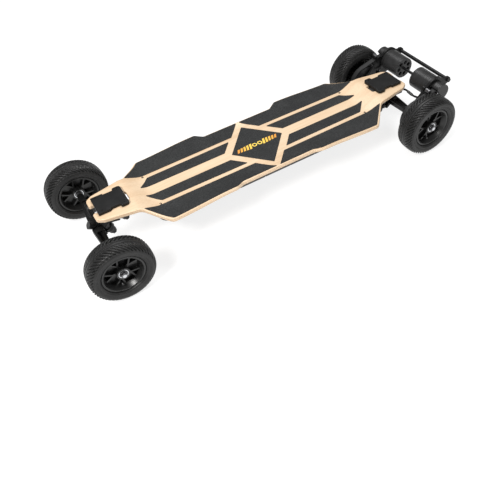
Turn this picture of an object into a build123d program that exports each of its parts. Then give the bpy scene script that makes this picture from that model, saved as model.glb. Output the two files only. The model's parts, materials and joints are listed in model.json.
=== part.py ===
from build123d import *
from math import asin, atan2, cos, degrees, hypot, pi, radians, sin, tan
import os

# All-terrain electric skateboard. Units are millimetres.
# +X points to the nose, +Y to the rider's left, +Z up; the tyres stand on Z = 0.

# ---------------------------------------------------------------- driving dimensions
WHEEL_RADIUS = 87.5
TYRE_WIDTH = 61.0
RIM_RADIUS = 57.0
TRACK = 344.0                   # between the middles of the left and right wheels
FRONT_AXLE_X = 496.5
REAR_AXLE_X = -472.0

DECK_TOP = 127.0                # middle of the standing surface, above the ground
DECK_THICKNESS = 12.0
DECK_HALF_WIDTH = 134.5         # at the four foot flares
DECK_HALF_WAIST = 120.7
DECK_EDGE_RADIUS = 3.5
END_RISE = 20.2                 # how much higher the two truck platforms are
RISE_START, RISE_END = 325.0, 398.0
DECK_TIP = 496.0
FLARE_HEIGHT = 11.0             # how much the long edges turn up beside the waist
FLARE_START_Y, FLARE_FULL_Y = 94.0, 134.0
FLARE_FULL_X, FLARE_END_X = 140.0, 330.0
GRIP_THICKNESS = 1.0
GLUE_GAP = 0.001                # keeps the flat diamond off the board's shaped surface
SURFACE_STEP_X, SURFACE_STEP_Y = 8.0, 6.0       # spacing of the points that shape the board
SURFACE_HALF_X, SURFACE_HALF_Y = 520.0, 144.0
TIP_SLOT_HALF = 16.3            # half width of the slot between the two prongs of each tip

ENCLOSURE_LENGTH = 690.0
ENCLOSURE_WIDTH = 180.0
ENCLOSURE_DEPTH = 38.0
ENCLOSURE_WALL = 4.0
GROOVE_HALF_WIDTH = 2.4
GROOVE_DEPTH = 2.0
GROOVE_PITCH = 82.5
GROOVE_COUNT = 6
REAR_GROOVE_X = -220.0
GASKET_THICKNESS = 2.0
FLANGE_WIDTH = 6.0
FLANGE_THICKNESS = 3.0
ENCLOSURE_CORNER = 30.0
BOTTOM_FILLET = 12.0
SHELL_SCREW_RADIUS = 1.6
HEAT_SINK_X, HEAT_SINK_LENGTH, HEAT_SINK_WIDTH = -271.0, 84.0, 108.0
CABLE_Y = 42.0                  # motor cables, either side of the centre line
CABLE_HOLE_RADIUS = 4.0

PLATE_START, PLATE_END = 400.0, 484.0
PLATE_THICKNESS = 8.0
PLATE_HALF_WIDTH = 38.5
PLATE_BOLT_X = (411.0, 472.0)
PLATE_BOLT_Y = 28.0
PLATE_BOLT_HOLE = 2.6

HINGE_ANGLE = 35.0              # steering axes, up from the ground
KINGPIN_ANGLE = 65.0
KINGPIN_RADIUS = 4.75
BUSHING_RADIUS = 11.0
BUSHING_LENGTH = 12.0
WASHER_THICKNESS = 2.0
RING_RADIUS = 15.0
RING_HALF = 5.0
RING_HOLE = 7.5
STEERING_PIN_RADIUS = 5.0
RUNNING_GAP = 0.06

AXLE_RADIUS = 5.0
BEARING_RADIUS = 13.0
BEARING_WIDTH = 8.0
HANGER_END_RADIUS = 12.0
HANGER_BAR = 18.0               # height and width of the bar at its outer end
HANGER_REACH = 140.0
AXLE_SEAT = 90.0                # where the axle stubs start inside the hanger
AXLE_PAST_HUB = 8.7

MOTOR_RADIUS = 31.5
MOTOR_LENGTH = 70.0
MOTOR_BACK = 78.0               # motor shaft behind the rear axle
MOTOR_UP = 55.3                 # and above it
WHEEL_PULLEY_TEETH = 60
PINION_TEETH = 15
BELT_PITCH = 5.0
BELT_WIDTH = 15.0
BELT_THICKNESS = 3.0
TIE_ROD_BACK = 124.8
TIE_ROD_UP = 66.3
TIE_ROD_RADIUS = 5.5
IDLER_ALONG, IDLER_ABOVE = 71.0, 33.7
IDLER_RADIUS = 6.3
IDLER_STUD_RADIUS = 2.0
SHAFT_RADIUS = 4.0
SHAFT_STUB_RADIUS = 2.5

# ---------------------------------------------------------------- derived places
AXLE_Z = WHEEL_RADIUS
HALF_TRACK = TRACK / 2
REAR_END = -REAR_AXLE_X + TIE_ROD_BACK + 8.0
FRONT_END = FRONT_AXLE_X + WHEEL_RADIUS
CENTRE_SHIFT = (REAR_END - FRONT_END) / 2   # moves the model onto the middle of its own box

DECK_BOTTOM = DECK_TOP - DECK_THICKNESS
PLATFORM_TOP = DECK_TOP + END_RISE
PLATFORM_BOTTOM = PLATFORM_TOP - DECK_THICKNESS
PLATE_TOP = PLATFORM_TOP + PLATE_THICKNESS

FLANGE_TOP = DECK_BOTTOM - GASKET_THICKNESS
ENCLOSURE_BOTTOM = DECK_BOTTOM - ENCLOSURE_DEPTH
ENCLOSURE_HALF = ENCLOSURE_LENGTH / 2
SIDE_Y = ENCLOSURE_WIDTH / 2    # outer face of the enclosure's side wall

MOUNT_INNER, MOUNT_OUTER = 101.0, 109.0     # motor mount plate, along Y
BELT_MIDDLE = 121.5
WHEEL_PULLEY_RADIUS = WHEEL_PULLEY_TEETH * BELT_PITCH / (2 * pi) - 0.6
PINION_RADIUS = PINION_TEETH * BELT_PITCH / (2 * pi) - 0.6
HUB_INNER = -20.5               # hub's inner face, from the middle of the wheel
HUB_OUTER = 21.5

NODES = {}
BASE_KINGPINS = []              # both trucks' kingpins, and both pivot cups, are one node each
BASE_CUPS = []


# ---------------------------------------------------------------- helpers
def outline(points):
    """Closed face from (x, y, corner radius) points."""
    path = FilletPolyline(*[(x, y) for x, y, _ in points], radius=[r for _, _, r in points], close=True)
    return make_face(path)


def slab(face, bottom, top):
    """A flat face on XY made into a solid between two heights."""
    return extrude(Pos(0, 0, bottom) * face, amount=top - bottom, dir=(0, 0, 1))


def side_prism(points, half_width, middle=0.0):
    """Solid from an XZ outline, half_width each side of Y = middle."""
    face = Plane((0, middle - half_width, 0), x_dir=(1, 0, 0), z_dir=(0, -1, 0)) * make_face(
        Polyline(*points, close=True))
    return extrude(face, amount=2 * half_width, dir=(0, 1, 0))


def rod(start, end, radius):
    """Round bar between two points."""
    start, end = Vector(*start), Vector(*end)
    return extrude(Plane(start, z_dir=end - start) * Circle(radius), amount=(end - start).length)


def tube(start, end, outer, inner):
    return rod(start, end, outer) - rod(start, end, inner)


def cross_rod(x, z, y0, y1, radius):
    return rod((x, y0, z), (x, y1, z), radius)


def cross_x(x0, x1, y, z, radius):
    return rod((x0, y, z), (x1, y, z), radius)


def box(x0, x1, y0, y1, z0, z1):
    return Pos((x0 + x1) / 2, (y0 + y1) / 2, (z0 + z1) / 2) * Box(x1 - x0, y1 - y0, z1 - z0)


def hexagon(start, end, flats_radius):
    """Hexagonal bar between two points, flats_radius from its axis to a flat."""
    start, end = Vector(*start), Vector(*end)
    face = Plane(start, z_dir=end - start) * RegularPolygon(flats_radius, 6, major_radius=False)
    return extrude(face, amount=(end - start).length)


def left_right(part):
    """A part and its mirror image across the board's centre line."""
    return [part, mirror(part, Plane.XZ)]


def solids_of(parts):
    found = []
    for part in parts if isinstance(parts, list) else [parts]:
        found += list(part.solids())
    return found


def keep(name, parts):
    """Store a node; a list of parts stays a group of separate solids."""
    NODES[name] = solids_of(parts)


# ---------------------------------------------------------------- deck and grip
def eased(value):
    """0 below 0, 1 above 1, and a smooth rise between them."""
    t = min(max(value, 0.0), 1.0)
    return t * t * (3 - 2 * t)


def deck_height(x, y):
    """Standing surface of the board: raised truck platforms and turned-up long edges."""
    rise = END_RISE * eased((abs(x) - RISE_START) / (RISE_END - RISE_START))
    fade = 1 - eased((abs(x) - FLARE_FULL_X) / (FLARE_END_X - FLARE_FULL_X))
    outward = max(abs(y) - FLARE_START_Y, 0.0) / (FLARE_FULL_Y - FLARE_START_Y)
    return DECK_TOP + rise + FLARE_HEIGHT * fade * outward ** 2


def grid_places(half, step):
    count = round(half / step)
    return [step * i for i in range(-count, count + 1)]


def deck_layer(bottom, top):
    """A layer that follows the board's surface, between two heights measured from it."""
    x_places = grid_places(SURFACE_HALF_X, SURFACE_STEP_X)
    y_places = grid_places(SURFACE_HALF_Y, SURFACE_STEP_Y)
    grid = [[Vector(x, y, deck_height(x, y) + bottom) for y in y_places] for x in x_places]
    surface = Face.make_surface_from_array_of_points(grid, tol=0.005)
    return Solid.extrude(surface, Vector(0, 0, top - bottom))


def four_corners(points):
    """Mirror a quarter outline, given from the long side to the tip, into all four quarters."""
    first = list(points)
    second = [(x, -y, r) for x, y, r in reversed(first)]
    third = [(-x, -y, r) for x, y, r in first]
    fourth = [(-x, y, r) for x, y, r in reversed(first)]
    return first + second + third + fourth


def plate_bolt_places():
    return [(end * x, side * PLATE_BOLT_Y) for end in (-1, 1) for x in PLATE_BOLT_X for side in (-1, 1)]


def deck_board():
    quarter = [(113, DECK_HALF_WAIST, 18), (137, DECK_HALF_WIDTH, 18), (RISE_START, DECK_HALF_WIDTH, 18),
               (382, 71, 22), (403, 68, 40), (442, 60, 60), (478, 53.5, 14), (DECK_TIP, 42, 13),
               (DECK_TIP, 14.5, 5), (472, TIP_SLOT_HALF, 12), (394, TIP_SLOT_HALF, 4)]
    plan = outline(four_corners(quarter))
    board = deck_layer(-DECK_THICKNESS, 0) & slab(plan, 90, 180)
    long_edges = [e for e in board.edges()
                  if abs(e.center().Y) > TIP_SLOT_HALF + 1 and abs(e.tangent_at(0.5).Z) < 0.75]
    board = fillet(long_edges, DECK_EDGE_RADIUS)
    for x, y in plate_bolt_places():
        board -= rod((x, y, DECK_BOTTOM), (x, y, PLATE_TOP), PLATE_BOLT_HOLE)
    keep("deck_board", board)


def grip_tape():
    layer = deck_layer(0, GRIP_THICKNESS)
    outer = [(4.1, 116.2, 1.5), (111, 116.2, 14), (135, 130, 14), (321, 130, 8),
             (377, 70.5, 1.5), (328.7, 66.7, 6), (46.4, 68.8, 1.5)]
    inner = [(62.3, 55.5, 1.5), (95.8, 17.6, 1.5), (353, 17.6, 1.5), (320, 52.8, 4)]
    diamond = [(82, 0, 2), (0, 93.6, 2), (-82, 0, 2), (0, -93.6, 2)]

    def mirrored(points):
        faces = []
        for sx in (1, -1):
            for sy in (1, -1):
                faces.append(outline([(sx * x, sy * y, r) for x, y, r in points]))
        return [layer & slab(face, 100, 180) for face in faces]

    flat_centre = slab(outline(diamond), DECK_TOP + GLUE_GAP, DECK_TOP + GRIP_THICKNESS)
    keep("grip_tape", mirrored(outer) + mirrored(inner) + [flat_centre])


# ---------------------------------------------------------------- enclosure
PORT_X = -262.0
BUTTON_X = -288.0
PORT_Z = 98.8
CABLE_EXIT_Z = 100.8


def groove_places():
    return [REAR_GROOVE_X + GROOVE_PITCH * i for i in range(GROOVE_COUNT)]


def enclosure():
    corner, wall = ENCLOSURE_CORNER, ENCLOSURE_WALL
    outer = slab(RectangleRounded(ENCLOSURE_LENGTH, ENCLOSURE_WIDTH, corner), ENCLOSURE_BOTTOM, FLANGE_TOP)
    outer = fillet(outer.faces().sort_by(Axis.Z)[0].edges(), BOTTOM_FILLET)
    inner = slab(RectangleRounded(ENCLOSURE_LENGTH - 2 * wall, ENCLOSURE_WIDTH - 2 * wall, corner - wall),
                 ENCLOSURE_BOTTOM + wall, FLANGE_TOP)
    inner = fillet(inner.faces().sort_by(Axis.Z)[0].edges(), BOTTOM_FILLET - wall)
    flange_plan = RectangleRounded(ENCLOSURE_LENGTH + 2 * FLANGE_WIDTH, ENCLOSURE_WIDTH + 2 * FLANGE_WIDTH,
                                   corner + FLANGE_WIDTH)
    flange = slab(flange_plan, FLANGE_TOP - FLANGE_THICKNESS, FLANGE_TOP)
    shell = outer + flange - inner
    depth = GROOVE_DEPTH
    for x in groove_places():
        rib = box(x - GROOVE_HALF_WIDTH, x + GROOVE_HALF_WIDTH, -SIDE_Y, SIDE_Y, ENCLOSURE_BOTTOM,
                  FLANGE_TOP - FLANGE_THICKNESS - 1)
        core = box(x - 5, x + 5, -SIDE_Y + depth, SIDE_Y - depth, ENCLOSURE_BOTTOM + depth, FLANGE_TOP)
        core = fillet([e for e in core.edges().filter_by(Axis.X) if e.center().Z < 90], 10)
        shell -= rib - core
    window = RectangleRounded(HEAT_SINK_LENGTH, HEAT_SINK_WIDTH, 4)
    shell -= Pos(HEAT_SINK_X, 0, 0) * slab(window, ENCLOSURE_BOTTOM - 1, ENCLOSURE_BOTTOM + 6)
    for x, radius in ((PORT_X, 7.0), (BUTTON_X, 6.5)):
        shell -= cross_rod(x, PORT_Z, -SIDE_Y - 5, -SIDE_Y + 12, radius)
    for side in (-1, 1):
        shell -= cross_x(-ENCLOSURE_HALF - 5, -ENCLOSURE_HALF + 12, side * CABLE_Y, CABLE_EXIT_Z,
                         CABLE_HOLE_RADIUS)
    screws = screw_places()
    for x, y in screws:
        shell -= rod((x, y, DECK_BOTTOM - 10), (x, y, DECK_BOTTOM + 5), SHELL_SCREW_RADIUS)
    bezel = cross_rod(BUTTON_X, PORT_Z, -SIDE_Y - 1, -SIDE_Y + 8, 6.5)
    bezel += cross_rod(BUTTON_X, PORT_Z, -SIDE_Y - 1, -SIDE_Y, 8)
    bezel -= cross_rod(BUTTON_X, PORT_Z, -SIDE_Y - 2, -SIDE_Y + 6, 4.8)
    keep("enclosure_shell", shell + bezel)

    inner_plan = RectangleRounded(ENCLOSURE_LENGTH - 2 * wall, ENCLOSURE_WIDTH - 2 * wall, corner - wall)
    ring = slab(flange_plan, FLANGE_TOP, PLATFORM_TOP) - slab(inner_plan, FLANGE_TOP, PLATFORM_TOP)
    gasket = ring & deck_layer(-DECK_THICKNESS - 20, -DECK_THICKNESS)
    for x, y in screws:
        gasket -= rod((x, y, DECK_BOTTOM - 10), (x, y, DECK_BOTTOM + 10), SHELL_SCREW_RADIUS)
    keep("enclosure_gasket", gasket)

    head_z = FLANGE_TOP - FLANGE_THICKNESS
    keep("enclosure_screws", [
        rod((x, y, head_z - 1.8), (x, y, head_z), 2.6)
        + rod((x, y, head_z), (x, y, DECK_BOTTOM), SHELL_SCREW_RADIUS)
        for x, y in screws])
    plate = Pos(HEAT_SINK_X, 0, 0) * slab(window, ENCLOSURE_BOTTOM + 1, ENCLOSURE_BOTTOM + 4)
    keep("heat_sink_plate", plate)


def screw_places():
    y = SIDE_Y + FLANGE_WIDTH / 2
    row = [-297.0, -198.0, -99.0, 0.0, 99.0, 198.0, 297.0]
    places = [(x, side * y) for x in row for side in (-1, 1)]
    end = ENCLOSURE_HALF + FLANGE_WIDTH / 2
    return places + [(sx * end, sy * 27) for sx in (-1, 1) for sy in (-1, 1)]


def electronics():
    cell_radius, cell_length = 10.5, 70.0
    floor = ENCLOSURE_BOTTOM + ENCLOSURE_WALL + 1
    cells = []
    for column in range(24):
        x = 322 - 21.6 * column
        for side in (-1, 1):
            y0 = side * 2
            cells.append(cross_rod(x, floor + cell_radius, y0, y0 + side * cell_length, cell_radius))
    board = box(60, 320, -40, 40, floor + 2 * cell_radius, floor + 2 * cell_radius + 4)
    keep("battery_pack", cells + [board])
    case = box(-320, -226, -58, 58, ENCLOSURE_BOTTOM + ENCLOSURE_WALL, ENCLOSURE_BOTTOM + 26)
    for i in range(9):
        x = -315 + 10.5 * i
        case -= box(x, x + 4, -50, 50, ENCLOSURE_BOTTOM + 20, ENCLOSURE_BOTTOM + 30)
    keep("motor_controller", case)


def charge_port():
    face = -SIDE_Y
    body = cross_rod(PORT_X, PORT_Z, face - 1.5, face + 12, 7.0)
    body += cross_rod(PORT_X, PORT_Z, face - 1.5, face, 9.0)
    body -= cross_rod(PORT_X, PORT_Z, face - 2, face + 9, 4.0)
    hinge_z = PORT_Z - 10.5
    hinge_y = face - 2.6
    for side in (-1, 1):
        x = PORT_X + side * 5.2
        lug = box(x - 1.2, x + 1.2, face - 3.6, face, hinge_z - 1.6, hinge_z + 1.6)
        body += lug - cross_x(x - 2, x + 2, hinge_y, hinge_z, 0.8)
    pin = cross_x(PORT_X - 6.4, PORT_X + 6.4, hinge_y, hinge_z, 0.8)
    keep("charge_socket", [body, pin])
    cap = cross_rod(PORT_X, PORT_Z, face - 4.2, face - 1.8, 8.5)
    cap += cross_x(PORT_X - 3.6, PORT_X + 3.6, hinge_y, hinge_z, 1.7)
    cap += box(PORT_X - 3.4, PORT_X + 3.4, face - 4.2, face - 2.4, hinge_z, hinge_z + 4)
    cap -= cross_x(PORT_X - 5, PORT_X + 5, hinge_y, hinge_z, 0.8 + RUNNING_GAP)
    cap += box(PORT_X - 3, PORT_X + 3, face - 5.6, face - 4.2, PORT_Z + 5, PORT_Z + 7)
    keep("charge_cap", cap)


def power_button():
    keep("power_button", cross_rod(BUTTON_X, PORT_Z, -SIDE_Y - 2.2, -SIDE_Y + 3, 4.72))


def cable_channels():
    profile = [(-345, 95.8), (-366, 97.8), (-402, 125.2), (-480, 125.2), (-480, PLATFORM_BOTTOM),
               (-400, PLATFORM_BOTTOM), (-352, 106.8), (-345, 106.8)]
    keep("cable_channels", left_right(side_prism(profile, 6, CABLE_Y)))


# ---------------------------------------------------------------- trucks
STEM_START, MOUTH, BOSS_END, PIN_END, CUP_END = 27.0, 42.0, 58.0, 53.0, 54.0
SCOOP_START = 24.0
LOW_RING = (-27.2, 70.6)        # lower ring, from the axle's X and the ground
UPPER_RING = (-72.2, 97.6)
SEAT = RING_HALF + BUSHING_LENGTH + WASHER_THICKNESS
NUT_LENGTH = 7.0
CUP_RADIUS = 8.0
BOSS_RADIUS = 10.5
BLOCK_RADIUS = 12.0


class Steering:
    """Places along one kingpin and along the steering axis that crosses it."""

    def __init__(self, axle_x, ring):
        self.x = axle_x + ring[0]
        self.z = ring[1]

    def along_kingpin(self, distance):
        return (self.x + distance * cos(radians(KINGPIN_ANGLE)), 0,
                self.z + distance * sin(radians(KINGPIN_ANGLE)))

    def along_axis(self, distance):
        return (self.x + distance * cos(radians(HINGE_ANGLE)), 0,
                self.z + distance * sin(radians(HINGE_ANGLE)))

    def on_kingpin(self, start, end, radius):
        return rod(self.along_kingpin(start), self.along_kingpin(end), radius)

    def on_axis(self, start, end, radius):
        return rod(self.along_axis(start), self.along_axis(end), radius)

    def ring(self):
        return self.on_kingpin(-RING_HALF, RING_HALF, RING_RADIUS)

    def ring_hole(self):
        return self.on_kingpin(-RING_HALF - 2, RING_HALF + 2, RING_HOLE)

    def boss(self):
        return self.on_axis(MOUTH, BOSS_END, BOSS_RADIUS)

    def boss_bore(self):
        return self.on_axis(MOUTH - 1, CUP_END, CUP_RADIUS)

    def cup(self):
        return self.on_axis(MOUTH, CUP_END, CUP_RADIUS) - self.on_axis(
            MOUTH - 1, CUP_END - 0.6, STEERING_PIN_RADIUS + RUNNING_GAP)

    def scoop(self):
        """Room round the pin's stem in the part that carries the boss."""
        return self.on_axis(SCOOP_START, MOUTH, 8.5)

    def boss_room(self):
        """Room round the boss in the part that turns about it."""
        return self.on_axis(MOUTH - 1, BOSS_END + 12, BOSS_RADIUS + 1.5)

    def pin(self):
        return self.on_axis(STEM_START, MOUTH - 0.5, 6.5) + self.on_axis(MOUTH - 0.5, PIN_END, STEERING_PIN_RADIUS)

    def bushings(self):
        pair = []
        for start in (-RING_HALF - BUSHING_LENGTH, RING_HALF):
            pair.append(self.on_kingpin(start, start + BUSHING_LENGTH, BUSHING_RADIUS)
                        - self.on_kingpin(start, start + BUSHING_LENGTH, KINGPIN_RADIUS))
        return pair

    def kingpin(self, top):
        """Bolt, two cup washers and nut."""
        washer_under = -RING_HALF - BUSHING_LENGTH - WASHER_THICKNESS
        bolt = self.on_kingpin(washer_under - NUT_LENGTH - 3, top, KINGPIN_RADIUS)
        pieces = [bolt]
        for start in (washer_under, SEAT - WASHER_THICKNESS):
            pieces.append(self.on_kingpin(start, start + WASHER_THICKNESS, 10.5)
                          - self.on_kingpin(start, start + WASHER_THICKNESS, KINGPIN_RADIUS))
        nut = hexagon(self.along_kingpin(washer_under - NUT_LENGTH), self.along_kingpin(washer_under), 7.2)
        pieces.append(nut - self.on_kingpin(washer_under - NUT_LENGTH, washer_under, KINGPIN_RADIUS))
        return pieces


def shifted(points, x, z):
    return [(x + dx, z + dz) for dx, dz in points]


def baseplate(upper):
    half = [(PLATE_START, PLATE_HALF_WIDTH, 7), (423, PLATE_HALF_WIDTH, 5), (423, 30, 2), (450, 30, 2),
            (450, 34.6, 2), (PLATE_END, 34.6, 3)]
    plan = outline([(x, -y, r) for x, y, r in half] + list(reversed(half)))
    plate = slab(plan, PLATFORM_TOP, PLATE_TOP)
    plate = fillet(plate.faces().sort_by(Axis.Z)[-1].edges(), 1.5)
    plate += box(402, 474, -15.5, 15.5, PLATFORM_BOTTOM - 1, PLATFORM_TOP)
    plate += upper.on_kingpin(SEAT, 52, BLOCK_RADIUS) + upper.boss()
    web = shifted([(15, 39), (22, 24), (31, 33), (44, 40), (50, 43), (12, 43)], upper.x, upper.z)
    plate += side_prism(web, 9)
    plate -= upper.scoop()
    plate -= upper.boss_bore()
    plate -= upper.on_kingpin(SEAT - 1, 48, KINGPIN_RADIUS)
    for x, y in plate_bolt_places():
        if x > 0:
            plate -= rod((x, y, PLATFORM_BOTTOM), (x, y, PLATE_TOP + 1), PLATE_BOLT_HOLE)
            plate -= rod((x, y, PLATE_TOP - 3), (x, y, PLATE_TOP + 1), 5.0)
    return plate


def cradle(upper, lower):
    arm = side_prism(shifted([(10, -12), (42, -5), (52, 2), (58, 12), (51, 14.3), (40, 13), (36, 22),
                              (20, 19), (15, 6), (13, 0)], upper.x, upper.z), 12)
    arm -= upper.boss_room()
    arm -= upper.on_kingpin(14, 60, BLOCK_RADIUS + 2.5)
    arm -= upper.on_kingpin(RING_HALF, 14, BUSHING_RADIUS + 0.5)
    arm -= upper.on_kingpin(-34, -RING_HALF, BUSHING_RADIUS + 1)
    part = arm + upper.ring() + upper.pin()
    part += lower.on_kingpin(SEAT, 40, BLOCK_RADIUS) + lower.boss()
    bridge = shifted([(20, 25), (31, 28), (42, 34), (39, 40), (27, 33), (19, 36)], lower.x, lower.z)
    part += side_prism(bridge, 9)
    part -= upper.ring_hole()
    part -= lower.scoop()
    part -= lower.boss_bore()
    part -= lower.on_kingpin(SEAT - 1, 41, KINGPIN_RADIUS)
    part -= lower.on_kingpin(40, 52, 9)
    return part


def hanger_arm(axle_x, side, arm_end, square_end):
    """Bar that narrows outward, with a channel along its top and its underside."""
    def section(y, width, height, corner, x=0.0, z=0.0):
        plane = Plane((axle_x + x, side * y, AXLE_Z + z), x_dir=(1, 0, 0), z_dir=(0, side, 0))
        return plane * RectangleRounded(width, height, corner)

    arm = loft([section(13, 30, 18, 3, 2, -1), section(arm_end, HANGER_BAR, HANGER_BAR, 3)])
    if square_end:
        arm += extrude(section(arm_end, HANGER_BAR, HANGER_BAR, 3), amount=HANGER_REACH - arm_end)
    else:
        arm += cross_rod(axle_x, AXLE_Z, side * (arm_end - 6), side * HANGER_REACH, HANGER_END_RADIUS)
    for top in (-1, 1):
        channel = loft([section(30, 15, 6, 1, 1.6, top * 9 - 0.8), section(arm_end - 10, 9.5, 6, 1, 0, top * 8.8)])
        arm -= channel
    return arm


def hanger(axle_x, lower, arm_end, square_end):
    """Cast beam with its ring and pin; the arms narrow towards their ends."""
    middle = side_prism(shifted([(9, -9), (15, -11), (34, 6), (42, 8), (42, 22), (25, 24), (23, 12), (16, 2),
                                 (10, 0)], lower.x, lower.z), 14)
    middle -= lower.on_kingpin(7, 48, BLOCK_RADIUS + 3.5)
    middle -= lower.on_kingpin(RING_HALF, 8, BUSHING_RADIUS + 0.5)
    part = middle
    for side in (-1, 1):
        part += hanger_arm(axle_x, side, arm_end, square_end)
    part -= lower.boss_room()
    part -= lower.on_kingpin(12, 48, BLOCK_RADIUS + 3.5)
    part += lower.ring() + lower.pin()
    part -= lower.ring_hole()
    for side in (-1, 1):
        part -= cross_rod(axle_x, AXLE_Z, side * AXLE_SEAT, side * (HANGER_REACH + 1), AXLE_RADIUS)
    return part


def axle_pieces(axle_x):
    stubs, nuts = [], []
    for side in (-1, 1):
        stubs.append(cross_rod(axle_x, AXLE_Z, side * AXLE_SEAT, side * (HALF_TRACK + HUB_OUTER + AXLE_PAST_HUB),
                               AXLE_RADIUS))
        spacer = cross_rod(axle_x, AXLE_Z, side * HANGER_REACH, side * (HALF_TRACK + HUB_INNER - 0.3), 7.5)
        spacer -= cross_rod(axle_x, AXLE_Z, side * 139, side * 160, AXLE_RADIUS)
        washer_in = side * (HALF_TRACK + HUB_OUTER + 0.3)
        washer_out = side * (HALF_TRACK + HUB_OUTER + 1.6)
        nut_out = side * (HALF_TRACK + HUB_OUTER + 7.6)
        washer = cross_rod(axle_x, AXLE_Z, washer_in, washer_out, 8.6)
        washer -= cross_rod(axle_x, AXLE_Z, washer_in, washer_out, AXLE_RADIUS)
        nut = hexagon((axle_x, washer_out, AXLE_Z), (axle_x, nut_out, AXLE_Z), 7.4)
        nut -= cross_rod(axle_x, AXLE_Z, washer_out, nut_out, AXLE_RADIUS)
        nuts += [spacer, washer, nut]
    return stubs, nuts


def mirrored_to_rear(parts):
    if isinstance(parts, list):
        return [mirror(part, Plane.YZ) for part in parts]
    return mirror(parts, Plane.YZ)


def truck(name, axle_x, to_end, arm_end, square_end):
    """One truck, modelled at the nose; to_end carries it to its own end of the board."""
    upper, lower = Steering(axle_x, UPPER_RING), Steering(axle_x, LOW_RING)
    keep(name + "_baseplate", to_end(baseplate(upper)))
    BASE_KINGPINS.extend(to_end(upper.kingpin(48)))
    keep(name + "_base_bushings", to_end(upper.bushings()))
    BASE_CUPS.append(to_end(upper.cup()))
    keep(name + "_cradle", to_end(cradle(upper, lower)))
    head = hexagon(lower.along_kingpin(40), lower.along_kingpin(45), 7.2)
    pieces = lower.kingpin(40)
    pieces[0] += head
    keep(name + "_hanger_kingpin", to_end(pieces))
    keep(name + "_hanger_bushings", to_end(lower.bushings()))
    keep(name + "_hanger_pivot_cup", to_end(lower.cup()))
    keep(name + "_hanger", to_end(hanger(axle_x, lower, arm_end, square_end)))
    stubs, nuts = axle_pieces(axle_x)
    keep(name + "_axles", to_end(stubs))
    keep(name + "_axle_nuts", to_end(nuts))


def truck_bolts():
    bolts = []
    for x, y in plate_bolt_places():
        bolt = rod((x, y, PLATE_TOP - 3), (x, y, PLATE_TOP - 0.3), 4.8)
        bolt -= hexagon((x, y, PLATE_TOP - 2), (x, y, PLATE_TOP), 1.6)
        bolt += rod((x, y, PLATFORM_BOTTOM - 8), (x, y, PLATE_TOP - 3), PLATE_BOLT_HOLE - 0.1)
        bolt += hexagon((x, y, PLATFORM_BOTTOM - 5), (x, y, PLATFORM_BOTTOM), 4.0)
        bolts.append(bolt)
    keep("truck_bolts", bolts)


# ---------------------------------------------------------------- wheels
SPOKES = 5
WEB_THICKNESS = 4.0
RIB_REACH = 12.0                # from the middle of the wheel, towards each face


def revolved(points, axle_x, y):
    """Body of revolution about an axle, from (distance along Y, radius, corner radius) points."""
    path = FilletPolyline(*[(r, w) for w, r, _ in points], radius=[c for _, _, c in points], close=True)
    return Pos(axle_x, y, AXLE_Z) * revolve(Plane.XY * make_face(path), Axis.Y)


def tyre(axle_x, y):
    half = TYRE_WIDTH / 2
    outer = [(20.2, 51.3, 0.5), (20.2, 57.4, 0.5), (25.5, 57.4, 1), (half - 0.6, 63, 4), (half + 0.2, 74, 6),
             (half - 3, 84, 5), (16, WHEEL_RADIUS, 12)]
    inner = [(15, 51.3, 0.5), (15, 58, 3), (24, 66, 4), (24, 79, 5), (15, 82, 5)]
    flipped = [(-w, r, c) for w, r, c in inner[::-1] + outer]
    return revolved(outer[::-1] + inner + flipped, axle_x, y)


def rim(axle_x, y, outward):
    """Closed web with five ribs that fork in two on both faces, a hub and the well for the tyre."""
    lip, well_floor, inside = RIM_RADIUS - 5, 51.0, 44.0
    well = [(24.5, lip, 1), (24.5, RIM_RADIUS, 1), (22.5, RIM_RADIUS, 0.8), (20.5, well_floor, 1),
            (16, well_floor, 1), (12, 47.5, 1)]
    mirrored_well = [(-w, r, c) for w, r, c in reversed(well)]
    part = revolved(well + mirrored_well + [(-10, inside, 3), (10, inside, 3)], axle_x, y)
    hub_low, hub_high = sorted((outward * HUB_INNER, outward * HUB_OUTER))
    part += cross_rod(axle_x, AXLE_Z, y + hub_low, y + hub_high, 17.5)
    part += cross_rod(axle_x, AXLE_Z, y - WEB_THICKNESS / 2, y + WEB_THICKNESS / 2, inside + 1)
    for i in range(SPOKES):
        plan = Rectangle(14, 7).moved(Location((20, 0))) + fork_arm(1) + fork_arm(-1)
        bar = extrude(plan, amount=RIB_REACH, both=True)
        placed = Location((axle_x, y, AXLE_Z)) * Location((0, 0, 0), (90, 0, 0)) \
            * Location((0, 0, 0), (0, 0, 360 / SPOKES * i))
        part += placed * bar
    part -= cross_rod(axle_x, AXLE_Z, y + hub_low - 1, y + hub_high + 1, 9)
    for start, direction in ((HUB_INNER, 1), (HUB_OUTER, -1)):
        seat = outward * start
        part -= cross_rod(axle_x, AXLE_Z, y + seat - outward * direction * 1,
                          y + seat + outward * direction * BEARING_WIDTH, BEARING_RADIUS)
    return part


def fork_arm(side):
    """One arm of a forked rib, from its root to the rim, on the XY plane."""
    start, end = (25, side * 1.5), (45, side * 13)
    length = hypot(end[0] - start[0], end[1] - start[1])
    angle = degrees(atan2(end[1] - start[1], end[0] - start[0]))
    return Location(((start[0] + end[0]) / 2, (start[1] + end[1]) / 2, 0), (0, 0, angle)) \
        * Rectangle(length + 3, 4.2)


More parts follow.
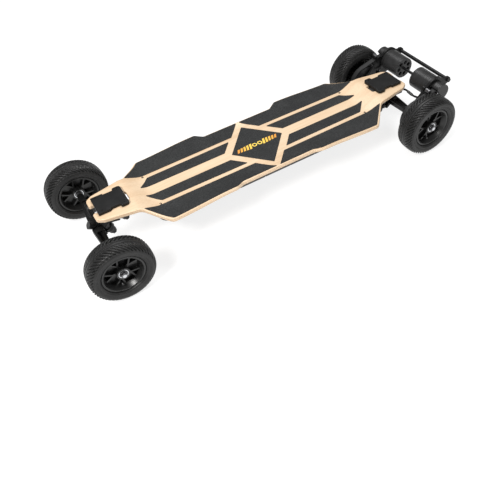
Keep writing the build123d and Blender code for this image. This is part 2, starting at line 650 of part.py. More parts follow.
def bearings(axle_x, y, outward):
    pair = []
    for start, direction in ((HUB_INNER, 1), (HUB_OUTER, -1)):
        near = y + outward * start
        far = near + outward * direction * BEARING_WIDTH
        race = cross_rod(axle_x, AXLE_Z, near, far, BEARING_RADIUS)
        race -= cross_rod(axle_x, AXLE_Z, near - 20, near + 20, AXLE_RADIUS + RUNNING_GAP)
        shield = 0.6 * direction * outward
        groove = tube((axle_x, near, AXLE_Z), (axle_x, near + shield, AXLE_Z), 11, 8)
        pair.append(race - groove)
    return pair


def wheel(name, axle_x, outward):
    y = outward * HALF_TRACK
    keep(name + "_tyre", tyre(axle_x, y))
    keep(name + "_rim", rim(axle_x, y, outward))
    keep(name + "_bearings", bearings(axle_x, y, outward))


# ---------------------------------------------------------------- drive
def drive_point(along, above):
    """Point seen from the side: along the line from axle to motor shaft, and above that line."""
    distance = hypot(MOTOR_BACK, MOTOR_UP)
    back, up = MOTOR_BACK / distance, MOTOR_UP / distance
    return (REAR_AXLE_X - along * back + above * up, AXLE_Z + along * up + above * back)


MOTOR_X = REAR_AXLE_X - MOTOR_BACK
MOTOR_Z = AXLE_Z + MOTOR_UP
SHAFT_DISTANCE = hypot(MOTOR_BACK, MOTOR_UP)
TIE_X = REAR_AXLE_X - TIE_ROD_BACK
TIE_Z = AXLE_Z + TIE_ROD_UP
IDLER_X, IDLER_Z = drive_point(IDLER_ALONG, IDLER_ABOVE)
STATOR_BASE = 8.0
GLAND_X, GLAND_Z = MOTOR_X + 34.7, MOTOR_Z - 15.5


def capsule(x0, z0, r0, x1, z1, r1, y0, y1):
    """Plate shaped like a belt loop round two circles."""
    span = hypot(x1 - x0, z1 - z0)
    heading = atan2(z1 - z0, x1 - x0)
    lean = asin((r0 - r1) / span)
    corners = []
    for x, z, r in ((x0, z0, r0), (x1, z1, r1)):
        for side in (1, -1):
            turn = heading + side * (pi / 2 - lean)
            corners.append((x + r * cos(turn), z + r * sin(turn)))
    quad = [corners[0], corners[2], corners[3], corners[1]]
    middle, half = (y0 + y1) / 2, abs(y1 - y0) / 2
    return side_prism(quad, half, middle) + cross_rod(x0, z0, y0, y1, r0) + cross_rod(x1, z1, y0, y1, r1)


def motor_mount(side):
    y0, y1 = side * MOUNT_INNER, side * MOUNT_OUTER
    plate = capsule(REAR_AXLE_X, AXLE_Z, 20, MOTOR_X, MOTOR_Z, 35, y0, y1)
    plate += capsule(MOTOR_X, MOTOR_Z, 18, TIE_X, TIE_Z, 9, y0, y1)
    plate += capsule(*drive_point(60, 8), 14, IDLER_X, IDLER_Z, 8, y0, y1)
    plate += cross_rod(REAR_AXLE_X, AXLE_Z, side * 97, y0, 20)
    plate -= cross_rod(REAR_AXLE_X, AXLE_Z, side * 90, side * 120, HANGER_END_RADIUS)
    plate -= cross_rod(MOTOR_X, MOTOR_Z, side * 90, side * 120, 9)
    slot_x, slot_z = drive_point(43, 0)
    plate -= cross_rod(slot_x, slot_z, side * 90, side * 120, 9)
    plate -= cross_rod(TIE_X, TIE_Z, side * 90, side * 120, 3)
    return plate


def mount_bolts(side):
    pieces = []
    for angle in (45, 135, 225, 315):
        x = MOTOR_X + 15 * cos(radians(angle))
        z = MOTOR_Z + 15 * sin(radians(angle))
        pieces.append(cross_rod(x, z, side * MOUNT_OUTER, side * (MOUNT_OUTER + 2.2), 2.6))
    tie = cross_rod(TIE_X, TIE_Z, side * MOUNT_OUTER, side * (MOUNT_OUTER + 5), 6)
    tie += cross_rod(TIE_X, TIE_Z, side * MOUNT_INNER, side * MOUNT_OUTER, 3)
    stud = cross_rod(IDLER_X, IDLER_Z, side * MOUNT_OUTER, side * (MOUNT_OUTER + 22), IDLER_STUD_RADIUS)
    stud += cross_rod(IDLER_X, IDLER_Z, side * (MOUNT_OUTER + 20.5), side * (MOUNT_OUTER + 22), 3.6)
    return pieces + [tie, stud]


def belt(side):
    y0, y1 = side * (BELT_MIDDLE - BELT_WIDTH / 2), side * (BELT_MIDDLE + BELT_WIDTH / 2)
    gap = 0.4
    big, small = WHEEL_PULLEY_RADIUS + gap, PINION_RADIUS + gap
    outer = capsule(REAR_AXLE_X, AXLE_Z, big + BELT_THICKNESS, MOTOR_X, MOTOR_Z, small + BELT_THICKNESS, y0, y1)
    inner = capsule(REAR_AXLE_X, AXLE_Z, big, MOTOR_X, MOTOR_Z, small, y0 - side, y1 + side)
    return outer - inner


def toothed(x, z, y0, y1, radius, teeth):
    """Round-groove timing pulley."""
    part = cross_rod(x, z, y0, y1, radius)
    for i in range(teeth):
        angle = 2 * pi * i / teeth
        part -= cross_rod(x + (radius + 0.3) * cos(angle), z + (radius + 0.3) * sin(angle), y0, y1, 1.5)
    return part


def wheel_pulley(side):
    y0, y1 = side * (BELT_MIDDLE - 9), side * (BELT_MIDDLE + 9)
    hub = side * (HALF_TRACK + HUB_INNER)
    part = toothed(REAR_AXLE_X, AXLE_Z, y0, y1, WHEEL_PULLEY_RADIUS, WHEEL_PULLEY_TEETH)
    for start, end in ((y0 - side * 1.5, y0), (y1, y1 + side * 1.5)):
        part += cross_rod(REAR_AXLE_X, AXLE_Z, start, end, WHEEL_PULLEY_RADIUS + 0.2)
    part += cross_rod(REAR_AXLE_X, AXLE_Z, y1, hub, 24)
    part -= cross_rod(REAR_AXLE_X, AXLE_Z, side * 100, side * 160, HANGER_END_RADIUS + 2)
    for i in range(SPOKES):
        angle = 2 * pi * (i + 0.5) / SPOKES
        x, z = REAR_AXLE_X + 33 * cos(angle), AXLE_Z + 33 * sin(angle)
        part -= cross_rod(x, z, side * 100, side * 135, 7)
    return part


def pinion(side):
    y0, y1 = side * (BELT_MIDDLE - 8), side * (BELT_MIDDLE + 8)
    part = toothed(MOTOR_X, MOTOR_Z, y0, y1, PINION_RADIUS, PINION_TEETH)
    for start, end in ((y0 - side * 1.2, y0), (y1, y1 + side * 1.2)):
        part += cross_rod(MOTOR_X, MOTOR_Z, start, end, PINION_RADIUS + 0.2)
    return part - cross_rod(MOTOR_X, MOTOR_Z, side * MOUNT_OUTER, side * 135, SHAFT_RADIUS)


def idler(side):
    y0, y1 = side * (BELT_MIDDLE - 8), side * (BELT_MIDDLE + 8)
    bore = cross_rod(IDLER_X, IDLER_Z, y0 - side, y1 + side, IDLER_STUD_RADIUS + RUNNING_GAP)
    return cross_rod(IDLER_X, IDLER_Z, y0, y1, IDLER_RADIUS) - bore


def rotor(side):
    """Turning can, its spoked end and the shaft."""
    inner_end = side * (MOUNT_INNER - MOTOR_LENGTH)
    outer_end = side * (MOUNT_INNER - STATOR_BASE - 0.5)
    can = tube((MOTOR_X, inner_end, MOTOR_Z), (MOTOR_X, outer_end, MOTOR_Z), MOTOR_RADIUS, MOTOR_RADIUS - 3)
    end = cross_rod(MOTOR_X, MOTOR_Z, inner_end, inner_end + side * 5, MOTOR_RADIUS - 3)
    for i in range(7):
        angle = 2 * pi * i / 7
        x, z = MOTOR_X + 18.5 * cos(angle), MOTOR_Z + 18.5 * sin(angle)
        end -= cross_rod(x, z, inner_end - side, inner_end + side * 6, 6)
    shaft = cross_rod(MOTOR_X, MOTOR_Z, inner_end + side * 4, side * (BELT_MIDDLE + 9), SHAFT_RADIUS)
    stub = cross_rod(MOTOR_X, MOTOR_Z, inner_end - side * 8, inner_end + side * 4, SHAFT_STUB_RADIUS)
    return can + end + shaft + stub


def stator(side):
    """Fixed base with its cable gland, and the winding carrier, bored for the shaft."""
    part = cross_rod(MOTOR_X, MOTOR_Z, side * (MOUNT_INNER - STATOR_BASE), side * MOUNT_INNER, MOTOR_RADIUS)
    part += cross_rod(MOTOR_X, MOTOR_Z, side * (MOUNT_INNER - MOTOR_LENGTH + 12),
                      side * (MOUNT_INNER - STATOR_BASE), 26)
    gland_y = side * (MOUNT_INNER - STATOR_BASE / 2)
    part += rod((MOTOR_X + 22.8, gland_y, MOTOR_Z - 10.2), (GLAND_X, gland_y, GLAND_Z), 3.9)
    return part - cross_rod(MOTOR_X, MOTOR_Z, side * 20, side * 110, SHAFT_RADIUS + RUNNING_GAP)


def belt_cover(side):
    """Shell round the motor pinion, open towards the wheel."""
    y0, y1 = side * MOUNT_OUTER, side * 137
    shell = cross_rod(MOTOR_X, MOTOR_Z, y0, y1, 25) - cross_rod(MOTOR_X, MOTOR_Z, y0, y1 - side * 3, 22)
    front_x, front_z = drive_point(SHAFT_DISTANCE - 35, 0)
    middle = (y0 + y1) / 2
    opening = Location((front_x, middle, front_z), (0, 0, 0)) * Location(
        (0, 0, 0), (0, degrees(atan2(MOTOR_UP, MOTOR_BACK)), 0)) * Box(56, 40, 80)
    return shell - opening


def tie_rod():
    return cross_rod(TIE_X, TIE_Z, -MOUNT_INNER, MOUNT_INNER, TIE_ROD_RADIUS)


def brace_tube():
    """Sleeve that carries the inner ends of both motor shafts."""
    end = MOUNT_INNER - MOTOR_LENGTH - 0.6
    part = cross_rod(MOTOR_X, MOTOR_Z, -end, end, 4.2)
    for side in (-1, 1):
        part -= cross_rod(MOTOR_X, MOTOR_Z, side * (end - 9), side * (end + 1), SHAFT_STUB_RADIUS + RUNNING_GAP)
    return part


def rear_drive():
    keep("motor_mounts", [motor_mount(-1), motor_mount(1)])
    keep("mount_bolts", mount_bolts(-1) + mount_bolts(1))
    keep("belt_covers", [belt_cover(-1), belt_cover(1)])
    keep("drive_belts", [belt(-1), belt(1)])
    keep("tie_rods", [tie_rod(), brace_tube()])
    keep("motor_stators", [stator(-1), stator(1)])
    for name, side in (("right", -1), ("left", 1)):
        keep(name + "_wheel_pulley", wheel_pulley(side))
        keep(name + "_motor_rotor", rotor(side))
        keep(name + "_motor_pinion", pinion(side))
        keep(name + "_belt_idler", idler(side))


# ---------------------------------------------------------------- motor leads
LEAD_RADIUS = 3.0
LEAD_END_Y = MOUNT_INNER - STATOR_BASE / 2
GLAND_RUN = 11.5                # straight run out of the gland before the first bend
LEAD_ROUTE = [(-480.5, CABLE_Y, 131.5), (-490, CABLE_Y, 130.5), (-499, 46.5, 124.5), (-503, 56, 118),
              (-505.5, 74, 115), (GLAND_X + 0.913 * GLAND_RUN, LEAD_END_Y, GLAND_Z - 0.407 * GLAND_RUN),
              (GLAND_X, LEAD_END_Y, GLAND_Z)]


def motor_lead(side):
    """Straight runs joined by arcs as large as the runs at each corner allow."""
    points = [Vector(x, side * y, z) for x, y, z in LEAD_ROUTE]
    runs = [b - a for a, b in zip(points, points[1:])]
    room = [0.45 * run.length for run in runs]
    room[0], room[-1] = 2 * room[0], 2 * room[-1]
    radii = []
    for i in range(len(runs) - 1):
        half_turn = radians(runs[i].get_angle(runs[i + 1])) / 2
        radii.append(min(room[i], room[i + 1]) / tan(half_turn))
    path = FilletPolyline(*points, radius=radii)
    print("lead length", round(path.length, 1), "tightest bend", round(min(radii), 1))
    start = Plane(points[0], z_dir=runs[0])
    return sweep(start * Circle(LEAD_RADIUS), path=path)


# ---------------------------------------------------------------- assembly
def build():
    deck_board()
    grip_tape()
    enclosure()
    electronics()
    charge_port()
    power_button()
    cable_channels()
    truck("front", FRONT_AXLE_X, lambda parts: parts, 116, True)
    truck("rear", -REAR_AXLE_X, mirrored_to_rear, 88, False)
    keep("base_kingpins", BASE_KINGPINS)
    keep("base_pivot_cups", BASE_CUPS)
    truck_bolts()
    for name, axle_x, outward in (("front_left", FRONT_AXLE_X, 1), ("front_right", FRONT_AXLE_X, -1),
                                  ("rear_left", REAR_AXLE_X, 1), ("rear_right", REAR_AXLE_X, -1)):
        wheel(name, axle_x, outward)
    rear_drive()
    keep("motor_leads", [motor_lead(-1), motor_lead(1)])


def export():
    os.makedirs("parts", exist_ok=True)
    place = Location((CENTRE_SHIFT, 0, 0))
    low, high = [1e9] * 3, [-1e9] * 3
    for name, solids in NODES.items():
        moved = [solid.moved(place) for solid in solids]
        shape = moved[0] if len(moved) == 1 else Compound(children=moved)
        export_step(shape, os.path.join("parts", name + ".step"))
        bounds = shape.bounding_box()
        for i, (a, b) in enumerate(zip(tuple(bounds.min), tuple(bounds.max))):
            low[i], high[i] = min(low[i], a), max(high[i], b)
    print(len(NODES), "nodes, box", [round(v, 2) for v in low], [round(v, 2) for v in high])
    print("centre shift", round(CENTRE_SHIFT, 3))


build()
export()
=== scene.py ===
import json
import math

import bmesh
import bpy
import numpy as np
from mathutils import Matrix, Vector


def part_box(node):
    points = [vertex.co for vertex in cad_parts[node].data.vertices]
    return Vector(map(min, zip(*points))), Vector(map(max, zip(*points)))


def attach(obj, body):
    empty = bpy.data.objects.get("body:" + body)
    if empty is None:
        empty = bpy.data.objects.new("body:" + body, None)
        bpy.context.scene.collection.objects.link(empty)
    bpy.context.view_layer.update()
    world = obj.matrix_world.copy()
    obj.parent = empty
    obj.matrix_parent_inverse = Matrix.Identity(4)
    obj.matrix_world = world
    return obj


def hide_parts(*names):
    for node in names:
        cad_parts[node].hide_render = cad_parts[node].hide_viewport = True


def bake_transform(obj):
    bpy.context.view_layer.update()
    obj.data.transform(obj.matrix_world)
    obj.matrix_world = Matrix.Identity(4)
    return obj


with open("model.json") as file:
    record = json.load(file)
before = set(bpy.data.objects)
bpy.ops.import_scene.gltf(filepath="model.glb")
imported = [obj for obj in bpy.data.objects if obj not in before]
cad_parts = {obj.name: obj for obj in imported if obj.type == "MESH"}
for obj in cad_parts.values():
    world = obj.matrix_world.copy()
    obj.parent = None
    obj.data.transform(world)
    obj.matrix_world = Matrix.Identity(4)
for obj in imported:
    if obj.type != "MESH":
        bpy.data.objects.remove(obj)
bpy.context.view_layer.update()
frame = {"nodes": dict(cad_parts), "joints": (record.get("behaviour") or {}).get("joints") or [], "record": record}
NODES = frame["nodes"]
JOINTS = {joint["name"]: joint for joint in frame["joints"]}
MM = 0.001


# ---------------------------------------------------------------- places from the frame
def corner(node):
    """Lowest and highest corners of a CAD node at rest."""
    low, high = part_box(node)
    return Vector(low), Vector(high)


def middle(node):
    low, high = corner(node)
    return (low + high) / 2


DECK_LOW, DECK_HIGH = corner("deck_board")
CENTRE_X = (DECK_LOW.x + DECK_HIGH.x) / 2
DECK_TOP = corner("grip_tape")[0].z
GRIP_TOP = DECK_TOP + 1.0 * MM

# The board's shape in millimetres, as the CAD has it. Its ends rise, and its sides turn up beside the waist.
BOARD_THICK, PLIES = 12.0, 7
END_RISE, RISE_FROM, RISE_TO = 20.2, 325.0, 398.0
SIDE_FLARE, FLARE_FULL, FLARE_NONE = 11.0, 140.0, 330.0
FLARE_FROM, FLARE_TO = 94.0, 134.0


def joint_place(name):
    return Vector(JOINTS[name]["pos_m"])


# ---------------------------------------------------------------- camera
CAMERA_TURN = (24.257, 48.745, -7.670)
CAMERA_PLACE = (0.57759, 1.13506, 1.12998)
CAMERA_LENS, CAMERA_SENSOR = 40.51, 36.0


def look(azimuth, elevation, roll):
    """Camera axes for a camera that stands at this azimuth and elevation, rolled about its view."""
    azimuth, elevation, roll = (math.radians(v) for v in (azimuth, elevation, roll))
    back = Vector((math.sin(azimuth) * math.cos(elevation), math.cos(azimuth) * math.cos(elevation),
                   math.sin(elevation)))
    right = (-back).cross(Vector((0, 0, 1))).normalized()
    up = right.cross(-back)
    turned_right = right * math.cos(roll) + up * math.sin(roll)
    turned_up = up * math.cos(roll) - right * math.sin(roll)
    return Matrix((turned_right, turned_up, back)).transposed()


def add_camera():
    camera = bpy.data.objects.new("camera", bpy.data.cameras.new("camera"))
    bpy.context.scene.collection.objects.link(camera)
    place = Vector((CENTRE_X, 0, 0)) + Vector(CAMERA_PLACE)
    camera.matrix_world = Matrix.Translation(place) @ look(*CAMERA_TURN).to_4x4()
    camera.data.sensor_width = CAMERA_SENSOR
    camera.data.lens = CAMERA_LENS
    bpy.context.scene.camera = camera


# ---------------------------------------------------------------- material helpers
class Shader:
    """A material with a Principled shader and short calls for the nodes used here."""

    def __init__(self, name, colour, roughness, metallic=0.0, **sockets):
        self.material = bpy.data.materials.new(name)
        self.material.use_nodes = True
        self.nodes = self.material.node_tree.nodes
        self.links = self.material.node_tree.links
        self.shader = self.nodes["Principled BSDF"]
        self.shader.inputs["Base Color"].default_value = (*colour, 1)
        self.shader.inputs["Roughness"].default_value = roughness
        self.shader.inputs["Metallic"].default_value = metallic
        for socket, value in sockets.items():
            self.shader.inputs[socket.replace("_", " ")].default_value = value
        self.colour = colour

    def node(self, kind, values=None, **settings):
        node = self.nodes.new(kind)
        for key, value in settings.items():
            setattr(node, key, value)
        for key, value in (values or {}).items():
            if isinstance(value, bpy.types.NodeSocket):
                self.links.new(value, node.inputs[key])
            else:
                node.inputs[key].default_value = value
        return node

    def place(self, scale=(1, 1, 1)):
        """Object coordinates, in metres, stretched by scale."""
        coordinates = self.node("ShaderNodeTexCoord").outputs["Object"]
        return self.node("ShaderNodeMapping", {"Vector": coordinates, "Scale": scale}).outputs["Vector"]

    def split(self, vector):
        """The three outputs X, Y and Z of a vector."""
        return self.node("ShaderNodeSeparateXYZ", {"Vector": vector}).outputs

    def noise(self, scale, stretch=(1, 1, 1), detail=3.0, roughness=0.55, distortion=0.0):
        values = {"Vector": self.place(stretch), "Scale": scale, "Detail": detail,
                  "Roughness": roughness, "Distortion": distortion}
        return self.node("ShaderNodeTexNoise", values).outputs["Fac"]

    def math(self, operation, a, b=0.0):
        return self.node("ShaderNodeMath", {0: a, 1: b}, operation=operation).outputs[0]

    def between(self, value, start, end, low, high, easing="LINEAR"):
        """The value, mapped from start..end to low..high."""
        values = {"Value": value, "From Min": start, "From Max": end, "To Min": low, "To Max": high}
        return self.node("ShaderNodeMapRange", values, interpolation_type=easing).outputs["Result"]

    def ramp(self, factor, stops):
        """A colour for each factor, from (position, colour or grey level) stops."""
        ramp = self.node("ShaderNodeValToRGB", {"Fac": factor})
        elements = ramp.color_ramp.elements
        while len(elements) < len(stops):
            elements.new(0.5)
        for element, (position, value) in zip(elements, stops):
            element.position = position
            element.color = (*value, 1) if isinstance(value, tuple) else (value, value, value, 1)
        return ramp.outputs["Color"]

    def mix(self, factor, a, b, blend="MIX"):
        """Two colours mixed; inputs 0, 6 and 7 of the node are its factor and its colours."""
        mix = self.node("ShaderNodeMix", data_type="RGBA", blend_type=blend)
        for index, value in ((0, factor), (6, a), (7, b)):
            if isinstance(value, bpy.types.NodeSocket):
                self.links.new(value, mix.inputs[index])
            elif index == 0:
                mix.inputs[index].default_value = value
            else:
                mix.inputs[index].default_value = (*value, 1)
        return mix.outputs[2]

    def bump(self, height, strength, distance):
        """Fine relief, on top of any relief the material has already."""
        values = {"Height": height, "Strength": strength, "Distance": distance}
        previous = self.shader.inputs["Normal"].links
        if previous:
            values["Normal"] = previous[0].from_socket
        bump = self.node("ShaderNodeBump", values)
        self.links.new(bump.outputs["Normal"], self.shader.inputs["Normal"])
        return self

    def set_colour(self, socket):
        self.links.new(socket, self.shader.inputs["Base Color"])
        return self

    def set_roughness(self, factor, low, high):
        self.links.new(self.between(factor, 0.0, 1.0, low, high), self.shader.inputs["Roughness"])
        return self

    def vary(self, scale, amount):
        """Slow drift of the base colour, darker and lighter by amount."""
        dark = tuple(c * (1 - amount) for c in self.colour)
        light = tuple(min(1.0, c * (1 + amount)) for c in self.colour)
        return self.set_colour(self.ramp(self.noise(scale), [(0.35, dark), (0.65, light)]))


# ---------------------------------------------------------------- materials
def wood_material():
    """Pale ply: long grain and pores on its faces, layers and glue lines on its edges; the edges are also painted
    lighter as painted light on the lit sides of the board.
    """
    wood = Shader("deck_wood", (0.80, 0.61, 0.43), 0.42, Coat_Weight=0.25, Coat_Roughness=0.25)
    broad = wood.noise(1.0, (2.2, 26.0, 26.0), detail=4, distortion=0.6)
    fine = wood.noise(1.0, (9.0, 420.0, 420.0), detail=6, roughness=0.65)
    pores = wood.noise(1.0, (60.0, 1500.0, 1500.0), detail=2)
    base = wood.ramp(broad, [(0.25, (0.61, 0.42, 0.255)), (0.5, (0.70, 0.52, 0.345)),
                             (0.8, (0.75, 0.59, 0.415))])
    streaks = wood.ramp(fine, [(0.30, (0.84, 0.79, 0.73)), (0.55, (1.0, 1.0, 1.0))])
    grain = wood.mix(0.75, base, streaks, "MULTIPLY")
    dots = wood.ramp(pores, [(0.28, (0.72, 0.62, 0.50)), (0.36, (1.0, 1.0, 1.0))])
    face = wood.mix(0.45, grain, dots, "MULTIPLY")

    # Ply layers, seen on the edges: depth below the board's own curved surface, in ply thicknesses.
    point = wood.split(wood.place())
    along = wood.math("ABSOLUTE", wood.math("SUBTRACT", point["X"], CENTRE_X))
    rise = wood.between(along, RISE_FROM * MM, RISE_TO * MM, 0.0, END_RISE * MM, "SMOOTHSTEP")
    fade = wood.between(along, FLARE_FULL * MM, FLARE_NONE * MM, SIDE_FLARE * MM, 0.0, "SMOOTHSTEP")
    aside = wood.math("ABSOLUTE", point["Y"])
    outward = wood.between(aside, FLARE_FROM * MM, FLARE_TO * MM, 0.0, 1.0)
    flare = wood.math("MULTIPLY", fade, wood.math("MULTIPLY", outward, outward))
    surface = wood.math("ADD", wood.math("ADD", rise, flare), DECK_TOP)
    depth = wood.math("SUBTRACT", surface, point["Z"])
    layer = wood.math("DIVIDE", depth, BOARD_THICK * MM / PLIES)
    odd = wood.math("GREATER_THAN", wood.math("MODULO", wood.math("FLOOR", layer), 2.0), 0.5)
    glue = wood.math("LESS_THAN", wood.math("FRACT", layer), 0.14)
    # Edge colours: the ply layers and glue lines are real, and the edges as a whole are painted lighter as painted
    # light on the lit side faces.
    ply_edge_and_painted_light = wood.mix(odd, (0.88, 0.70, 0.50), (0.62, 0.43, 0.27))
    ply_edge_and_painted_light = wood.mix(glue, ply_edge_and_painted_light, (0.34, 0.20, 0.10))
    ply_edge_and_painted_light = wood.mix(0.4, ply_edge_and_painted_light, streaks, "MULTIPLY")
    facing = wood.split(wood.node("ShaderNodeNewGeometry").outputs["Normal"])
    side = wood.between(wood.math("ABSOLUTE", facing["Z"]), 0.66, 0.52, 0.0, 1.0)
    wood.set_colour(wood.mix(side, face, ply_edge_and_painted_light))
    wood.set_roughness(fine, 0.38, 0.52)
    wood.bump(fine, 0.12, 0.0003)
    return wood.material


def grip_material():
    """Black grit on tape, with clumps, slightly worn patches and bright grains that are painted glints in its
    colour.
    """
    grip = Shader("grip_grit", (0.023, 0.024, 0.025), 0.90, Specular_IOR_Level=0.20)
    cells = grip.node("ShaderNodeTexVoronoi", {"Vector": grip.place(), "Scale": 1500.0})
    grit = cells.outputs["Distance"]
    grains = grip.noise(2600.0, detail=2)
    cloud = grip.noise(14.0, detail=4)
    clumps = grip.ramp(grip.noise(330.0, detail=3, roughness=0.7), [(0.36, 0.66), (0.64, 1.30)])
    # Grain tone; the brightest grains are painted glints in the base colour.
    grain_tone_and_painted_glint = grip.ramp(grains, [(0.30, (0.017, 0.018, 0.018)), (0.62, (0.037, 0.038, 0.039)),
                                 (0.80, (0.120, 0.122, 0.124))])
    worn = grip.ramp(cloud, [(0.35, 0.86), (0.70, 1.12)])
    grit_tone = grip.mix(1.0, grain_tone_and_painted_glint, clumps, "MULTIPLY")
    grip.set_colour(grip.mix(1.0, grit_tone, worn, "MULTIPLY"))
    return grip.bump(grit, 0.5, 0.0004).bump(grains, 0.4, 0.0003).material


def moulded(name, colour, roughness, grain=0.18, scale=900.0, **sockets):
    """Moulded plastic with a fine leathery grain."""
    plastic = Shader(name, colour, roughness, **sockets)
    plastic.vary(9.0, 0.12)
    texture = plastic.noise(scale, detail=2)
    plastic.bump(texture, grain, 0.00015)
    return plastic.set_roughness(plastic.noise(40.0), roughness - 0.06, roughness + 0.08).material


def coated_metal(name, colour, roughness):
    """Black anodised or painted castings, with a faint orange-peel and rubbed variation."""
    metal = Shader(name, colour, roughness, metallic=0.2, Specular_IOR_Level=0.32)
    metal.vary(35.0, 0.25)
    metal.bump(metal.noise(420.0, detail=2), 0.10, 0.0002)
    return metal.set_roughness(metal.noise(60.0, detail=4), roughness - 0.08, roughness + 0.12).material


def bright_metal(name, colour, roughness):
    """Bare or plated metal with faint turning lines."""
    metal = Shader(name, colour, roughness, metallic=1.0)
    metal.vary(60.0, 0.08)
    lines = metal.noise(1.0, (30.0, 2600.0, 30.0), detail=1)
    metal.bump(lines, 0.08, 0.0001)
    return metal.set_roughness(metal.noise(90.0, detail=4), roughness - 0.07, roughness + 0.12).material


def tyre_material():
    """Black rubber with dust in its tread."""
    rubber = Shader("tyre_rubber", (0.010, 0.010, 0.010), 0.42, Specular_IOR_Level=0.34)
    dust = rubber.noise(30.0, detail=5)
    rubber.set_colour(rubber.ramp(dust, [(0.30, (0.008, 0.008, 0.008)), (0.55, (0.012, 0.012, 0.012)),
                                         (0.80, (0.022, 0.022, 0.022))]))
    rubber.set_roughness(rubber.noise(55.0, detail=3), 0.34, 0.52)
    return rubber.bump(rubber.noise(1600.0, detail=2), 0.25, 0.0002).material


def soft_rubber(name, colour, roughness):
    """Rubber, foam or urethane with a fine skin."""
    rubber = Shader(name, colour, roughness, Specular_IOR_Level=0.5)
    rubber.vary(30.0, 0.18)
    return rubber.bump(rubber.noise(700.0, detail=2), 0.15, 0.0001).material


def fin_material():
    """Black heat sink with fine ribs along the board."""
    metal = Shader("heat_sink_black", (0.016, 0.016, 0.017), 0.42, metallic=0.3)
    metal.vary(30.0, 0.2)
    wave = metal.node("ShaderNodeTexWave", {"Vector": metal.place(), "Scale": 95.0, "Distortion": 0.0},
                      wave_type="BANDS", bands_direction="Y").outputs["Fac"]
    return metal.bump(wave, 0.6, 0.0006).material


def gold_material():
    """Metallic print that runs from orange at its ends to yellow in the middle."""
    gold = Shader("gold_print", (0.80, 0.48, 0.08), 0.45, metallic=0.25)
    point = gold.split(gold.place())
    along = gold.math("ABSOLUTE", gold.math("SUBTRACT", point["X"], CENTRE_X))
    tone = gold.ramp(gold.between(along, 0.0, 0.07, 0.0, 1.0),
                     [(0.0, (0.95, 0.72, 0.12)), (0.45, (0.90, 0.55, 0.07)), (1.0, (0.72, 0.25, 0.03))])
    speckle = gold.ramp(gold.noise(700.0, detail=2), [(0.3, 0.75), (0.6, 1.0)])
    return gold.set_colour(gold.mix(0.7, tone, speckle, "MULTIPLY")).material


def make_materials():
    return {
        "wood": wood_material(),
        "grip": grip_material(),
        "enclosure": moulded("enclosure_plastic", (0.017, 0.016, 0.0145), 0.45, scale=1100.0),
        "dark_plastic": moulded("dark_plastic", (0.008, 0.008, 0.008), 0.40),
        "rim": moulded("rim_nylon", (0.0065, 0.0065, 0.0065), 0.30, grain=0.10, scale=700.0),
        "gasket": soft_rubber("gasket_foam", (0.006, 0.006, 0.006), 0.85),
        "black_metal": coated_metal("black_castings", (0.0065, 0.0065, 0.0067), 0.36),
        "motor_black": coated_metal("motor_black", (0.026, 0.026, 0.0265), 0.32),
        "black_steel": coated_metal("black_oxide", (0.010, 0.010, 0.0105), 0.32),
        "steel": bright_metal("zinc_steel", (0.62, 0.63, 0.65), 0.24),
        "dark_steel": bright_metal("dark_steel", (0.16, 0.16, 0.165), 0.30),
        "aluminium": bright_metal("turned_aluminium", (0.70, 0.71, 0.73), 0.30),
        "pulley": coated_metal("pulley_black", (0.012, 0.012, 0.013), 0.33),
        "urethane": soft_rubber("urethane", (0.016, 0.016, 0.018), 0.40),
        "cells": soft_rubber("cell_wrap", (0.03, 0.10, 0.22), 0.35),
        "tyre": tyre_material(),
        "belt": soft_rubber("belt_rubber", (0.008, 0.008, 0.0085), 0.60),
        "cable": soft_rubber("cable_jacket", (0.007, 0.007, 0.0075), 0.38),
        "heat_sink": fin_material(),
        "gold": gold_material(),
    }


def dress(piece, material):
    piece.data.materials.clear()
    piece.data.materials.append(material)


# ---------------------------------------------------------------- mesh helpers
def add_piece(name, mesh, material, body=None):
    piece = bpy.data.objects.new(name, mesh)
    bpy.context.scene.collection.objects.link(piece)
    dress(piece, material)
    if body:
        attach(piece, body)
    return piece


def mesh_from(name, vertices, faces, smooth=True):
    mesh = bpy.data.meshes.new(name)
    mesh.from_pydata([tuple(v) for v in vertices], [], faces)
    mesh.update()
    if smooth:
        mesh.shade_smooth()
    return mesh


def axes_for(direction):
    """Two unit vectors square to a direction."""
    direction = Vector(direction).normalized()
    helper = Vector((0, 0, 1)) if abs(direction.z) < 0.9 else Vector((1, 0, 0))
    first = direction.cross(helper).normalized()
    return direction, first, direction.cross(first)


def ring_faces(rings, count):
    """Quads between closed rings of count points each, where the last ring joins the first."""
    faces = []
    for i in range(rings):
        j = (i + 1) % rings
        for a in range(count):
            b = (a + 1) % count
            faces.append((i * count + a, i * count + b, j * count + b, j * count + a))
    return faces


def lathe(name, profile, origin, direction, segments=64):
    """Closed ring of revolution from (distance along, radius) points, both in millimetres."""
    direction, first, second = axes_for(direction)
    origin = Vector(origin)
    vertices = []
    for i in range(segments):
        angle = 2 * math.pi * i / segments
        outward = first * math.cos(angle) + second * math.sin(angle)
        vertices += [origin + direction * (s * MM) + outward * (r * MM) for s, r in profile]
    mesh = mesh_from(name, vertices, ring_faces(segments, len(profile)))
    fix_normals(mesh)
    mark_creases(mesh, 35)
    return mesh


def fix_normals(mesh):
    work = bmesh.new()
    work.from_mesh(mesh)
    bmesh.ops.recalc_face_normals(work, faces=work.faces)
    work.to_mesh(mesh)
    work.free()


def mark_creases(mesh, degrees):
    mesh.shade_smooth()
    mesh.set_sharp_from_angle(angle=math.radians(degrees))


